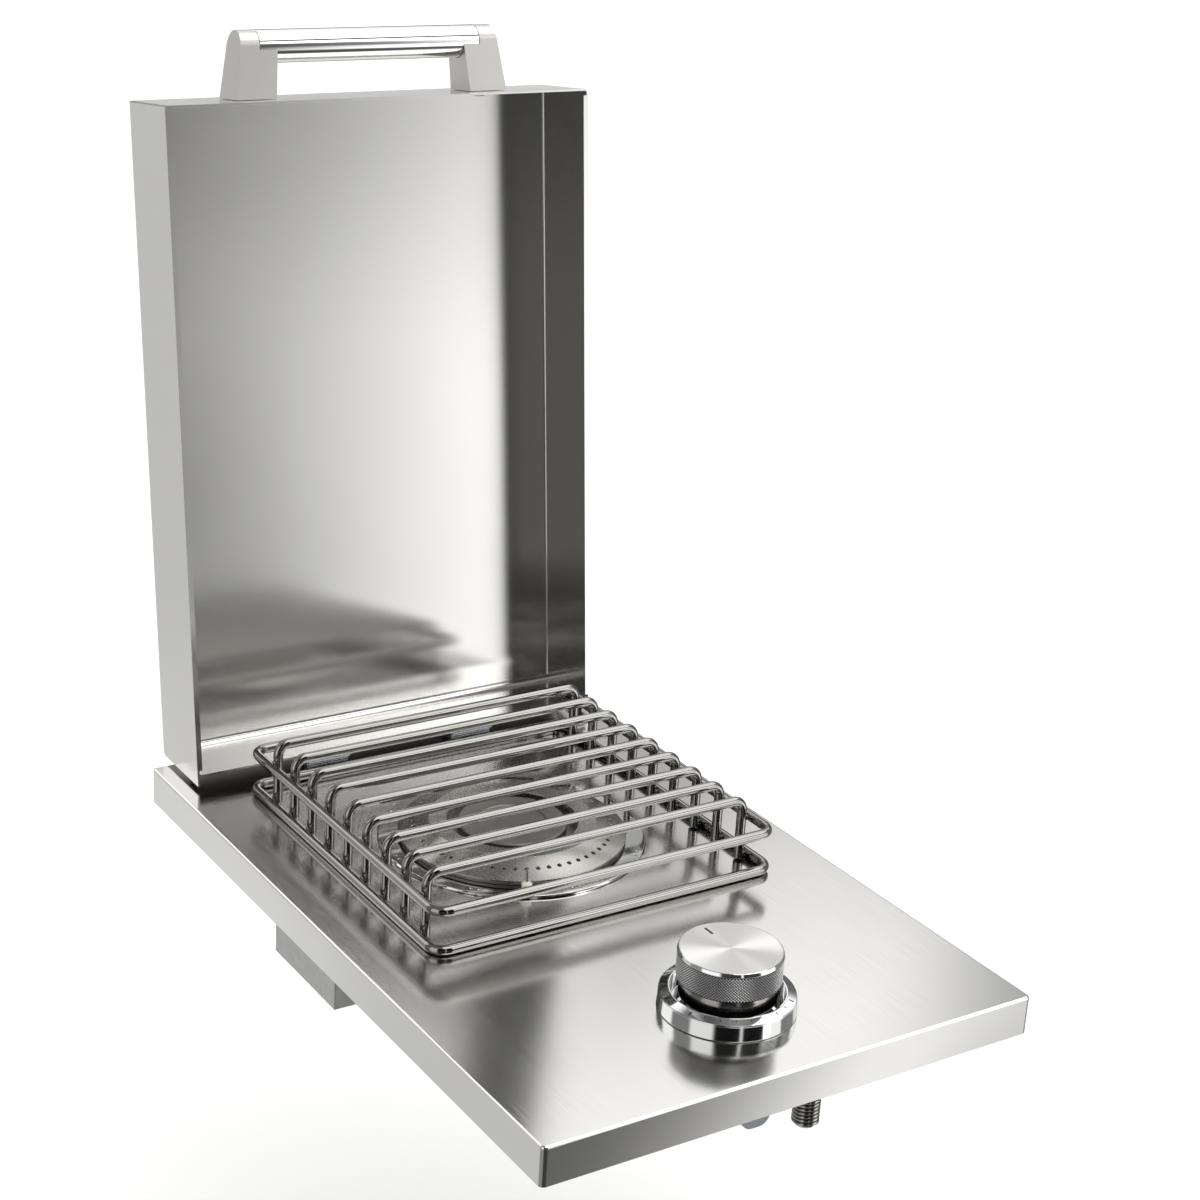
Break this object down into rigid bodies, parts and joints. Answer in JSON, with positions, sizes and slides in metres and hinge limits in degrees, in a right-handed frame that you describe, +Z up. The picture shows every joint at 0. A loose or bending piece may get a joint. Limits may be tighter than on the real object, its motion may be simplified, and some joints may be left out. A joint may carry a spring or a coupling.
{
  "type": "built-in side burner",
  "caption": "Drop-in outdoor gas side burner: folded steel plate, round burner under a wire grate, push-and-turn knob and a hinged lid with a bar handle.",
  "frame": {"origin": "middle of the front seat flange, on its underside, where the plate rests on the counter", "axes": "+X right, +Y to the back, +Z up, as a user stands in front of the knob"},
  "size_m": [0.32, 0.5438, 0.5328],
  "materials": {
    "brushed_sheet": "satin stainless sheet, finely brushed",
    "polished_steel": "mirror-polished stainless",
    "polished_rod": "electropolished stainless rod",
    "chrome": "bright chromed",
    "dark_chrome": "dark chromed, smooth",
    "turned_alloy": "turned, satin",
    "satin_cast": "satin casting, bead blasted",
    "cast_alloy": "raw casting",
    "die_cast": "raw die casting",
    "galvanised_sheet": "galvanised sheet",
    "zinc_plated": "bright zinc plated",
    "drawn_tube": "drawn tube",
    "brass": "machined",
    "black_nickel": "black plated thread with a bare steel nose",
    "glazed_ceramic": "glazed ceramic",
    "rubber": "matt moulded rubber"
  },
  "bodies": {
    "base": {"top_plate": "brushed_sheet", "burner_channel": "galvanised_sheet", "burner_base_ring": "polished_steel", "burner_pot": "cast_alloy", "burner_outer_ring": "turned_alloy", "burner_inner_cap": "cast_alloy", "pot_spacer": "zinc_plated", "pot_screw": "zinc_plated", "igniter_electrode": "glazed_ceramic", "mixing_tube": "cast_alloy", "air_shutter": "zinc_plated", "gas_orifice": "brass", "gas_tube": "drawn_tube", "gas_valve": "die_cast", "valve_bracket": "galvanised_sheet", "return_spring": "zinc_plated", "knob_bezel": "chrome", "inlet_elbow": "brass", "inlet_fitting": "black_nickel", "grate_lower_ring": "polished_rod", "grate_upper_ring": "polished_rod", "grate_bar_1": "polished_rod", "grate_bar_2": "polished_rod", "grate_bar_3": "polished_rod", "grate_bar_4": "polished_rod", "grate_bar_5": "polished_rod", "grate_bar_6": "polished_rod", "grate_bar_7": "polished_rod", "grate_bar_8": "polished_rod", "grate_bar_9": "polished_rod", "hinge_plate_leaf_left": "zinc_plated", "hinge_plate_leaf_right": "zinc_plated", "hinge_pin_left": "zinc_plated", "hinge_pin_right": "zinc_plated", "lid_stop_left": "rubber", "lid_stop_right": "rubber"},
    "lid": {"lid_shell": "brushed_sheet", "hinge_lid_leaf_left": "zinc_plated", "hinge_lid_leaf_right": "zinc_plated", "handle_post_left": "satin_cast", "handle_post_right": "satin_cast", "handle_bar": "polished_steel", "handle_screw_left": "zinc_plated", "handle_screw_right": "zinc_plated"},
    "collar": {"push_collar": "zinc_plated"},
    "knob": {"valve_stem": "brass", "knob_hub": "dark_chrome", "knob_shell": "turned_alloy"}
  },
  "joints": [
    {"name": "lid_hinge", "type": "hinge", "parent": "base", "child": "lid", "pos_m": [0, 0.4412, 0.0281], "axis": [1, 0, 0], "range_deg": [0, 96.1]},
    {"name": "knob_push", "type": "slide", "parent": "base", "child": "collar", "axis": [0, 0, -1], "range_m": [0, 0.003], "stiffness_N_per_m": 1500, "springref_m": -0.003, "deforming": ["return_spring"]},
    {"name": "knob_turn", "type": "hinge", "parent": "collar", "child": "knob", "pos_m": [0, 0.064, 0.05], "axis": [0, 0, 1], "range_deg": [0, 210]}
  ]
}
